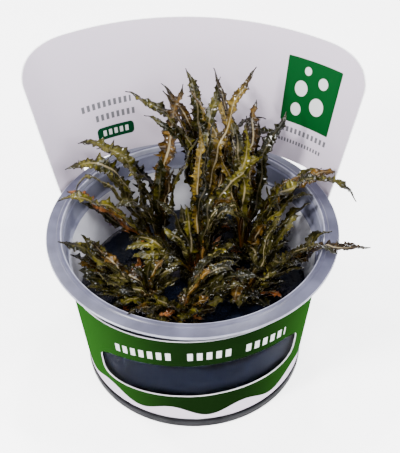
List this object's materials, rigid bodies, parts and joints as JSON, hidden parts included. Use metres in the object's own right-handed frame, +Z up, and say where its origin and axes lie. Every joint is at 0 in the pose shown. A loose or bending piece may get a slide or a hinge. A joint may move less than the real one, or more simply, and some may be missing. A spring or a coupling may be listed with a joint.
{
  "type": "in vitro aquarium plant in a cup",
  "caption": "Young ribbon leaved aquarium plants grown in vitro on dark gel, in a round clear cup with a flange and a printed card sleeve with a tall back card.",
  "frame": {"origin": "centre of the cup's underside", "axes": "+Z up through the cup, -Y towards the front of the sleeve, with the tall back card on the +Y side"},
  "size_m": [0.1144, 0.1017, 0.111],
  "materials": {
    "cup_plastic": "clear, faintly cloudy moulded plastic",
    "card": "coated card, printed green and white outside and white behind",
    "gel": "wet dark gel",
    "crown": "damp brown rhizome",
    "leaf_olive": "wet leaf, olive green",
    "leaf_brown": "wet leaf, brown",
    "leaf_amber": "wet leaf, amber brown",
    "leaf_young": "wet young leaf, yellow green",
    "leaf_dark": "wet leaf, dark green",
    "leaf_pale": "wet leaf, pale at its midrib",
    "leaf_red": "wet leaf with a red stalk"
  },
  "bodies": {
    "root": {"cup": "cup_plastic", "sleeve": "card", "gel": "gel", "crown_1": "crown", "crown_2": "crown", "crown_3": "crown", "crown_4": "crown", "crown_5": "crown", "crown_6": "crown", "crown_7": "crown", "leaf_01": "leaf_brown", "leaf_02": "leaf_olive", "leaf_03": "leaf_olive", "leaf_04": "leaf_brown", "leaf_05": "leaf_amber", "leaf_06": "leaf_olive", "leaf_07": "leaf_olive", "leaf_08": "leaf_dark", "leaf_09": "leaf_brown", "leaf_10": "leaf_amber", "leaf_11": "leaf_amber", "leaf_12": "leaf_dark", "leaf_13": "leaf_olive", "leaf_14": "leaf_brown", "leaf_15": "leaf_olive", "leaf_16": "leaf_olive", "leaf_17": "leaf_pale", "leaf_18": "leaf_pale", "leaf_19": "leaf_olive", "leaf_20": "leaf_young", "leaf_21": "leaf_brown", "leaf_22": "leaf_dark", "leaf_23": "leaf_dark", "leaf_24": "leaf_pale", "leaf_25": "leaf_olive", "leaf_26": "leaf_dark", "leaf_27": "leaf_red", "leaf_28": "leaf_brown", "leaf_29": "leaf_olive", "leaf_30": "leaf_dark", "leaf_31": "leaf_young", "leaf_32": "leaf_dark", "leaf_33": "leaf_olive", "leaf_34": "leaf_dark", "leaf_35": "leaf_olive", "leaf_36": "leaf_young", "leaf_37": "leaf_olive", "leaf_38": "leaf_pale", "leaf_39": "leaf_young", "leaf_40": "leaf_red", "leaf_41": "leaf_red", "leaf_42": "leaf_young", "leaf_43": "leaf_dark", "leaf_44": "leaf_red", "leaf_45": "leaf_olive", "leaf_46": "leaf_red", "leaf_47": "leaf_young", "leaf_48": "leaf_brown", "leaf_49": "leaf_dark", "leaf_50": "leaf_dark"}
  },
  "joints": []
}
